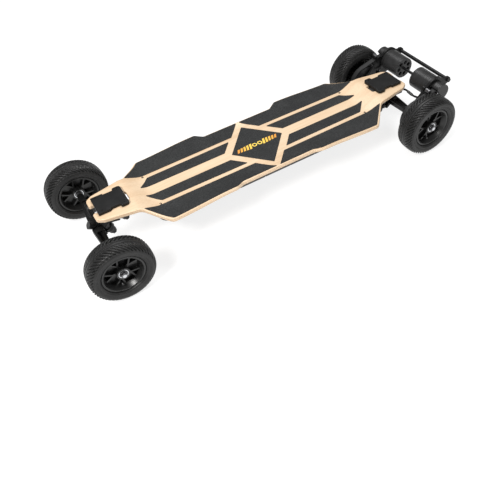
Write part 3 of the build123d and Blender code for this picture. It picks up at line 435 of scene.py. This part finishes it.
def soften(node, width, material, body, angle=28.0):
    """A copy of a CAD node with broken edges, which stands for it."""
    mesh = NODES[node].data.copy()
    work = bmesh.new()
    work.from_mesh(mesh)
    bmesh.ops.remove_doubles(work, verts=work.verts, dist=2e-6)
    flat = math.radians(0.6)
    bmesh.ops.dissolve_limit(work, angle_limit=flat, verts=work.verts, edges=work.edges)
    work.to_mesh(mesh)
    work.free()
    piece = add_piece(node + "_finish", mesh, material, body)
    mark_creases(piece.data, angle)
    bevel = piece.modifiers.new("edges", "BEVEL")
    bevel.width = width
    bevel.segments = 2
    bevel.limit_method = "ANGLE"
    bevel.angle_limit = math.radians(angle)
    bevel.harden_normals = True
    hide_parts(node)
    return piece


def apply_modifiers(piece):
    """Keep the result of a piece's modifiers as its mesh."""
    bpy.context.view_layer.update()
    shaped = piece.evaluated_get(bpy.context.evaluated_depsgraph_get())
    result = bpy.data.meshes.new_from_object(shaped)
    piece.modifiers.clear()
    piece.data = result


# ---------------------------------------------------------------- tyres
TYRE_RADIUS = 87.5
TYRE_SEGMENTS = 660
TREAD_BLOCKS, ZIGZAGS, KNURLS = 50, 110, 162
RIM_SEAT = [(15.2, 51.6), (15.2, 57.5), (-15.2, 57.5), (-15.2, 51.6)]
VALVE_ANGLE, VALVE_RADIUS = -72, 39.5


def tyre_profile():
    """Half section from the crown to the bead as (across, radius) in millimetres, by arc length."""
    points = np.array([(0, TYRE_RADIUS), (8, 87.4), (16, 86.8), (22, 85.6), (26.4, 83.2), (29.0, 79.5),
                       (30.2, 75.0), (30.5, 70.0), (30.0, 65.5), (28.2, 61.2), (25.6, 58.2),
                       (22.5, 57.6), (20.3, 57.6), (20.3, 51.6)])
    length = np.r_[0, np.cumsum(np.hypot(*np.diff(points, axis=0).T))]
    samples = np.r_[np.arange(0, 34, 0.85), np.arange(34, length[-1], 1.6), length[-1]]
    smooth = np.stack([np.interp(samples, length, points[:, i]) for i in (0, 1)], axis=1)
    for _ in range(3):
        smooth[1:-4] = (smooth[:-5] + 2 * smooth[1:-4] + smooth[2:-3]) / 4
    smooth[0] = points[0]
    return samples, smooth


def groove(value, width, soft=0.45):
    """1 inside a groove of this half width, easing to 0 outside it."""
    t = np.clip((width + soft - np.abs(value)) / (2 * soft), 0, 1)
    return t * t * (3 - 2 * t)


def groove_depth(along, across):
    """Depth of the tread pattern in millimetres; along runs round the tyre, across from its crown."""
    circumference = 2 * math.pi * TYRE_RADIUS
    pitch = circumference / TREAD_BLOCKS
    zigzag_pitch = circumference / ZIGZAGS
    knurl_pitch = circumference / KNURLS
    side = np.abs(across)
    shift = np.where(across > 0, 0.0, pitch / 2)
    zigzag = 4.6 + 0.9 * (2 * np.abs((along / zigzag_pitch) % 1 - 0.5) - 0.5)
    centre = 1.9 * groove(side - zigzag, 0.8)
    sweep = along + shift - 0.95 * (side - 8) - 0.010 * (side - 8) ** 2
    phase = (sweep / pitch + 0.5) % 1 - 0.5
    main_reach = np.clip((side - 8.0) / 1.5, 0, 1) * np.clip((33.5 - side) / 3, 0, 1)
    main = 3.0 * groove(phase * pitch, 1.55 + 0.02 * side) * main_reach
    half = ((sweep / pitch) % 1) - 0.5
    fine_reach = np.clip((side - 12.0) / 1.5, 0, 1) * np.clip((25.0 - side) / 2, 0, 1)
    fine = 1.4 * groove(half * pitch, 0.4, 0.35) * fine_reach
    rib = -0.6 * groove(side - 37.5, 0.9, 0.5) - 0.8 * groove(side - 48.5, 1.0, 0.6)
    knurl_phase = (along % knurl_pitch) - knurl_pitch / 2
    knurl = 0.5 * groove(knurl_phase, 0.7, 0.4) * groove(side - 43.0, 2.6, 0.5)
    return np.maximum(np.maximum(centre, main), fine) + rib + knurl


def tyre_mesh(name, centre, outward):
    """A treaded tyre whose axle runs along Y; outward is the side of the board that it is on."""
    samples, half = tyre_profile()
    across = np.r_[-samples[:0:-1], samples]
    section = np.r_[half[:0:-1] * (-1, 1), half]
    tangent = np.gradient(section, axis=0)
    normal = np.stack([-tangent[:, 1], tangent[:, 0]], axis=1)
    normal /= np.linalg.norm(normal, axis=1)[:, None]
    spin = np.arange(TYRE_SEGMENTS)[:, None] * 2 * math.pi / TYRE_SEGMENTS
    depth = groove_depth(spin * TYRE_RADIUS, across[None, :])
    shaped = section[None, :, :] - normal[None, :, :] * depth[:, :, None]
    seat = np.broadcast_to(np.array(RIM_SEAT), (TYRE_SEGMENTS, len(RIM_SEAT), 2))
    shaped = np.concatenate([shaped, seat], axis=1)
    width, radius = shaped[..., 0] * MM, shaped[..., 1] * MM
    x = centre.x + radius * np.cos(spin)
    y = centre.y + outward * width
    z = centre.z + radius * np.sin(spin)
    vertices = np.stack([x, y, z], axis=-1).reshape(-1, 3)
    mesh = mesh_from(name, vertices, ring_faces(TYRE_SEGMENTS, shaped.shape[1]))
    fix_normals(mesh)
    mesh.set_sharp_from_angle(angle=math.radians(50))
    return mesh


def add_tyres(materials):
    for end in ("front", "rear"):
        for side, outward in (("left", 1), ("right", -1)):
            node = f"{end}_{side}_tyre"
            centre = middle(node)
            centre.z = TYRE_RADIUS * MM
            mesh = tyre_mesh(node, centre, outward)
            piece = add_piece(node + "_tread", mesh, materials["tyre"], f"{end}_{side}_wheel")
            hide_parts(node)
            add_valve(f"{end}_{side}", centre, outward, materials)
            add_seals(f"{end}_{side}", centre, materials)


def add_seals(name, centre, materials):
    """Dark seals in the bearings, between their bright races."""
    low, high = corner(name + "_bearings")
    ends = ((low.y, 1), (high.y, -1))
    for label, (y, inward) in zip(("a", "b"), ends):
        profile = [(0.05, 8.05), (0.05, 10.95), (0.55, 10.95), (0.55, 8.05)]
        start = Vector((centre.x, y, centre.z))
        mesh = lathe("seal", profile, start, (0, inward, 0), 48)
        add_piece(f"{name}_seal_{label}", mesh, materials["dark_plastic"], name + "_wheel")


def add_valve(name, centre, outward, materials):
    """Valve stem that leans out of the rim between the two arms of a forked spoke."""
    angle = math.radians(VALVE_ANGLE)
    radial = Vector((math.cos(angle), 0, math.sin(angle)))
    start = centre + radial * (VALVE_RADIUS * MM) + Vector((0, outward * 2.5 * MM, 0))
    direction = (-radial * 0.25 + Vector((0, outward, 0))).normalized()
    profile = [(0, 0.0), (0, 5.0), (3, 4.6), (9, 3.0), (9.4, 3.4), (19, 3.4), (20, 2.6), (20.5, 0.0)]
    mesh = lathe(name + "_valve", profile, start, direction, 24)
    add_piece(name + "_valve", mesh, materials["cable"], name + "_wheel")


# ---------------------------------------------------------------- bushings
KINGPIN_TILT = math.radians(65)
BUSHING_LENGTH, BUSHING_RADIUS, BUSHING_HOLE, BUSHING_START = 12.0, 11.0, 4.9, 5.0


def bushing_profile():
    """Barrel bushing with rounded lips."""
    length, radius, hole = BUSHING_LENGTH, BUSHING_RADIUS, BUSHING_HOLE
    waist = radius - 0.5
    lip = [(0, radius - 1.4), (0.5, radius - 0.4), (1.3, radius)]
    barrel = [(length * 0.3, waist), (length * 0.5, waist - 0.15), (length * 0.7, waist)]
    far_lip = [(length - s, r) for s, r in lip[::-1]]
    bore = [(length * t, hole) for t in (1, 0.75, 0.5, 0.25)]
    return [(0, hole)] + lip + barrel + far_lip + bore


def add_bushings(materials):
    for end, facing in (("front", 1), ("rear", -1)):
        up = Vector((facing * math.cos(KINGPIN_TILT), 0, math.sin(KINGPIN_TILT)))
        cradle, hanger = end + "_cradle", end + "_hanger"
        for link, fixed, turning in ((end + "_base", "deck", cradle), (hanger, cradle, hanger)):
            ring = joint_place(link + "_steer")
            for label, direction in (("upper", up), ("lower", -up)):
                start = ring + direction * (BUSHING_START * MM)
                name = f"{link}_bushings_{label}"
                mesh = lathe(name, bushing_profile(), start, direction)
                piece = add_piece(name, mesh, materials["urethane"])
                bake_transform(piece)
                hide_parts(link + "_bushings")


# ---------------------------------------------------------------- motor leads
# Points of the left lead's route, and the one where its two pieces meet in the connector.
LEAD_POINTS = [(-480.5, 42, 131.5), (-490, 42, 130.5), (-499, 46.5, 124.5), (-503, 56, 118),
               (-505.5, 74, 115), (-504.8, 97, 122.62), (-515.3, 97, 127.3)]
LEAD_JOINT = 3
LEAD_RADIUS = 3.0


def tube_mesh(name, points, radius):
    """Smooth round cable through the control points."""
    curve = bpy.data.curves.new(name, "CURVE")
    curve.dimensions = "3D"
    curve.bevel_depth = radius * MM
    curve.bevel_resolution = 4
    curve.use_fill_caps = True
    curve.resolution_u = 12
    spline = curve.splines.new("NURBS")
    spline.points.add(len(points) - 1)
    for target, point in zip(spline.points, points):
        target.co = (*point, 1)
    spline.order_u = 3
    spline.use_endpoint_u = True
    holder = bpy.data.objects.new(name, curve)
    bpy.context.scene.collection.objects.link(holder)
    bpy.context.view_layer.update()
    shaped = holder.evaluated_get(bpy.context.evaluated_depsgraph_get())
    mesh = bpy.data.meshes.new_from_object(shaped)
    bpy.data.objects.remove(holder)
    mesh.shade_smooth()
    return mesh


def connector_profile(length):
    """Two collars with a narrow waist between them."""
    half = [(0, 0), (0, 3.3), (1.0, 4.1), (length * 0.42, 4.3), (length * 0.45, 3.7)]
    return half + [(length - s, r) for s, r in half[::-1]]


def add_leads(materials):
    cable, plastic = materials["cable"], materials["dark_plastic"]
    for side, name in ((1, "left"), (-1, "right")):
        points = [Vector((CENTRE_X + x * MM, side * y * MM, z * MM)) for x, y, z in LEAD_POINTS]
        split = points[LEAD_JOINT]
        before = (points[LEAD_JOINT - 1] + split) / 2
        after = (points[LEAD_JOINT + 1] + split) / 2

        mesh = tube_mesh("stub", points[:LEAD_JOINT] + [before, split], LEAD_RADIUS)
        stub = add_piece(f"{name}_lead_stub", mesh, cable)
        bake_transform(stub)
        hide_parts("motor_leads")

        mesh = tube_mesh("lead", [split, after] + points[LEAD_JOINT + 1:], LEAD_RADIUS)
        lead = add_piece(f"{name}_lead", mesh, cable)
        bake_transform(lead)
        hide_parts("motor_leads")

        direction = after - before
        overlap = 2.0
        length = direction.length / MM + 2 * overlap
        start = before - direction.normalized() * (overlap * MM)
        mesh = lathe(f"{name}_lead_connector", connector_profile(length), start, direction, 40)
        add_piece(f"{name}_lead_connector", mesh, plastic, "rear_cradle")


# ---------------------------------------------------------------- belts
BELT_GAP, BELT_THICK, BELT_WIDE, BELT_TOOTH = 0.4, 3.0, 15.0, 1.3
BELT_PITCH, WHEEL_TEETH, MOTOR_TEETH = 5.0, 60, 15
PULLEY_DROP = 0.6
BELT_PLANE = 121.5
STEPS_PER_TOOTH = 8


def pulley_radius(teeth):
    """Radius of the belt's inner face on a pulley: the pitch radius, less the drop, plus the gap."""
    return teeth * BELT_PITCH / (2 * math.pi) - PULLEY_DROP + BELT_GAP


def belt_loop(big, small, span):
    """Points round two pulleys as (along, above, outward along, outward above, on a straight run)."""
    lean = math.asin((big - small) / span)
    top = math.pi / 2 - lean
    steps = int(span * math.cos(lean) / (BELT_PITCH / STEPS_PER_TOOTH))
    loop = []

    def arc(centre, radius, start, end, count):
        for i in range(count):
            angle = start + (end - start) * i / count
            a, b = math.cos(angle), math.sin(angle)
            loop.append((centre + radius * a, radius * b, a, b, False))

    def straight(start, end, angle):
        for i in range(steps):
            t = i / steps
            a, b = (p + (q - p) * t for p, q in zip(start, end))
            loop.append((a, b, math.cos(angle), math.sin(angle), True))

    def rim(centre, radius, angle):
        return centre + radius * math.cos(angle), radius * math.sin(angle)

    arc(span, small, -top, top, 48)
    straight(rim(span, small, top), rim(0, big, top), top)
    arc(0, big, top, 2 * math.pi - top, 140)
    straight(rim(0, big, -top), rim(span, small, -top), -top)
    return loop


def add_belts(materials):
    axle = joint_place("rear_left_spin")
    shaft = joint_place("left_motor_spin")
    run = Vector((shaft.x - axle.x, 0, shaft.z - axle.z))
    along = run.normalized()
    above = Vector((along.z, 0, -along.x))
    loop = belt_loop(pulley_radius(WHEEL_TEETH), pulley_radius(MOTOR_TEETH), run.length / MM)
    for side, name in ((1, "left"), (-1, "right")):
        vertices = []
        for index, (a, b, out_a, out_b, on_run) in enumerate(loop):
            is_tooth = on_run and index % STEPS_PER_TOOTH in (2, 3, 4, 5)
            inner = -BELT_TOOTH if is_tooth else 0.0
            for depth, edge in ((inner, -1), (inner, 1), (BELT_THICK, 1), (BELT_THICK, -1)):
                place = along * (a + out_a * depth) + above * (b + out_b * depth)
                place.y += side * BELT_PLANE + edge * BELT_WIDE / 2
                vertices.append(Vector((axle.x, 0, axle.z)) + place * MM)
        mesh = mesh_from(name + "_belt", vertices, ring_faces(len(loop), 4))
        fix_normals(mesh)
        mark_creases(mesh, 30)
        belt = materials["belt"]
        piece = add_piece(name + "_toothed_belt", mesh, belt, "rear_hanger")
        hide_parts("drive_belts")


# ---------------------------------------------------------------- deck details
SCREW_X, SCREW_Y = 329.8, 62.1


def hexagon(x, size):
    corners = [math.radians(60 * k) for k in range(6)]
    return [(x + size * math.cos(angle), size * math.sin(angle)) for angle in corners]


def bar(x, half_width, half_height, lean):
    return [(x - half_width - lean, -half_height), (x + half_width - lean, -half_height),
            (x + half_width + lean, half_height), (x - half_width + lean, half_height)]


def add_emblem(materials):
    """A generic printed band along the middle of the deck: slanted bars round two hexagons."""
    vertices, faces = [], []
    low, high = GRIP_TOP + 0.01 * MM, GRIP_TOP + 0.10 * MM

    def plate(outer, inner=None):
        """A thin plate with this outline, and a hole where an inner outline is given."""
        base, count = len(vertices), len(outer)
        rings = [outer] if inner is None else [outer, inner]
        for ring in rings:
            for z in (low, high):
                vertices.extend((CENTRE_X + x * MM, y * MM, z) for x, y in ring)
        for i in range(count):
            j = (i + 1) % count
            faces.append((base + i, base + j, base + count + j, base + count + i))
            if inner is not None:
                hole = base + 2 * count
                faces.append((hole + i, hole + count + i, hole + count + j, hole + j))
                faces.append((base + count + i, base + count + j, hole + count + j, hole + count + i))
                faces.append((base + i, hole + i, hole + j, base + j))
        if inner is None:
            faces.append(tuple(base + i for i in range(count))[::-1])
            faces.append(tuple(base + count + i for i in range(count)))

    for sign in (-1, 1):
        plate(hexagon(sign * 8.6, 8.2), hexagon(sign * 8.6, 4.6))
        for k in range(5):
            plate(bar(sign * (21.5 + 9.6 * k), 3.2, 10.6 - 0.9 * k, 3.4))
    mesh = mesh_from("deck_mark", vertices, faces, smooth=False)
    fix_normals(mesh)
    add_piece("deck_mark", mesh, materials["gold"], "deck")


def add_deck_screws(materials):
    """Small countersunk screws beside the tips of the inner grip strips."""
    for sx in (-1, 1):
        for sy in (-1, 1):
            place = Vector((CENTRE_X + sx * SCREW_X * MM, sy * SCREW_Y * MM, DECK_TOP + 0.2 * MM))
            profile = [(0, 0), (0, 3.6), (0.4, 3.2), (0.4, 1.5), (0.05, 1.3), (0.05, 0)]
            mesh = lathe("deck_screw", profile, place, (0, 0, 1), 24)
            name = f"deck_screw_{'nose' if sx > 0 else 'tail'}_{'left' if sy > 0 else 'right'}"
            add_piece(name, mesh, materials["black_steel"], "deck")


# ---------------------------------------------------------------- CAD nodes and their finish
def finish_nodes(materials):
    """Edges are broken on the castings, plates and mouldings; the rest keep the CAD shape."""
    bodies = frame["record"]["behaviour"]["bodies"]
    body_of = {node: body for body, group in bodies.items() for node in group}
    softened = {"enclosure_shell": ("enclosure", 0.6), "motor_mounts": ("black_metal", 0.6),
                "belt_covers": ("dark_plastic", 0.6), "heat_sink_plate": ("heat_sink", 0.4),
                "cable_channels": ("dark_plastic", 1.0), "charge_cap": ("dark_plastic", 0.25),
                "power_button": ("dark_plastic", 0.3)}
    for end in ("front", "rear"):
        softened[end + "_baseplate"] = ("black_metal", 0.5)
        softened[end + "_hanger"] = ("black_metal", 0.8)
        softened[end + "_cradle"] = ("black_metal", 0.6)
        softened[end + "_axle_nuts"] = ("dark_steel", 0.25)
        for side in ("left", "right"):
            softened[f"{end}_{side}_rim"] = ("rim", 0.7)
    for side in ("left", "right"):
        softened[side + "_motor_rotor"] = ("motor_black", 0.5)
    plain = {"deck_board": "wood", "grip_tape": "grip", "enclosure_gasket": "gasket",
             "battery_pack": "cells", "motor_controller": "heat_sink",
             "charge_socket": "dark_plastic", "motor_stators": "motor_black"}
    endings = (("bearings", "steel"), ("axles", "steel"), ("pinion", "aluminium"),
               ("idler", "dark_steel"), ("wheel_pulley", "pulley"),
               ("pivot_cup", "urethane"), ("pivot_cups", "urethane"))
    for node, item in NODES.items():
        if node in softened:
            kind, width = softened[node]
            soften(node, width * MM, materials[kind], body_of[node])
            continue
        by_ending = (kind for ending, kind in endings if node.endswith(ending))
        kind = plain.get(node) or next(by_ending, "black_steel")
        dress(item, materials[kind])


# ---------------------------------------------------------------- studio
def add_floor():
    """Plain pale floor, faintly lit from within so that shadows on it stay light."""
    size = 14.0
    drop = 0.4 * MM
    mesh = mesh_from("floor", [(-size, -size, 0), (size, -size, 0), (size, size, 0), (-size, size, 0)],
                     [(0, 1, 2, 3)], smooth=False)
    floor = bpy.data.objects.new("floor", mesh)
    bpy.context.scene.collection.objects.link(floor)
    floor.location.z = -drop
    paper = Shader("floor_paper", (0.28, 0.28, 0.28), 0.9, Specular_IOR_Level=0.0,
                   Emission_Color=(1.0, 1.0, 1.0, 1.0), Emission_Strength=0.80)
    paper.bump(paper.noise(60.0), 0.02, 0.0005)
    dress(floor, paper.material)


def add_light(name, place, target, size, power, colour=(1, 1, 1)):
    light = bpy.data.lights.new(name, "AREA")
    light.shape = "RECTANGLE"
    light.size, light.size_y = size
    light.energy = power
    light.color = colour
    item = bpy.data.objects.new(name, light)
    bpy.context.scene.collection.objects.link(item)
    item.location = place
    item.rotation_euler = (Vector(target) - Vector(place)).to_track_quat("-Z", "Y").to_euler()


def add_world(ambient):
    """White backdrop that lights the board more softly than it looks."""
    world = bpy.data.worlds.new("studio")
    bpy.context.scene.world = world
    world.use_nodes = True
    nodes, links = world.node_tree.nodes, world.node_tree.links
    backdrop = nodes["Background"]
    backdrop.inputs["Color"].default_value = (1, 1, 1, 1)
    level = nodes.new("ShaderNodeMapRange")
    level.inputs["To Min"].default_value = ambient
    level.inputs["To Max"].default_value = 1.0
    links.new(nodes.new("ShaderNodeLightPath").outputs["Is Camera Ray"], level.inputs["Value"])
    links.new(level.outputs["Result"], backdrop.inputs["Strength"])


def add_studio():
    add_world(0.30)
    add_light("key", (1.7, 0.9, 2.2), (0.15, 0, 0.1), (0.7, 0.7), 70, (1.0, 0.985, 0.965))
    add_light("top", (-0.7, -0.9, 2.5), (0, 0, 0.1), (2.0, 0.9), 44)
    add_light("strip", (-0.4, 2.4, 0.9), (0, 0, 0.1), (2.2, 0.25), 12)
    view = bpy.context.scene.view_settings
    view.view_transform = "Standard"
    view.look = "None"


# ---------------------------------------------------------------- scene
add_camera()
MATERIALS = make_materials()
finish_nodes(MATERIALS)
add_tyres(MATERIALS)
add_bushings(MATERIALS)
add_leads(MATERIALS)
add_belts(MATERIALS)
add_emblem(MATERIALS)
add_deck_screws(MATERIALS)
add_floor()
add_studio()

for piece in [o for o in bpy.context.scene.objects if o.type == "MESH" and o.modifiers]:
    apply_modifiers(piece)
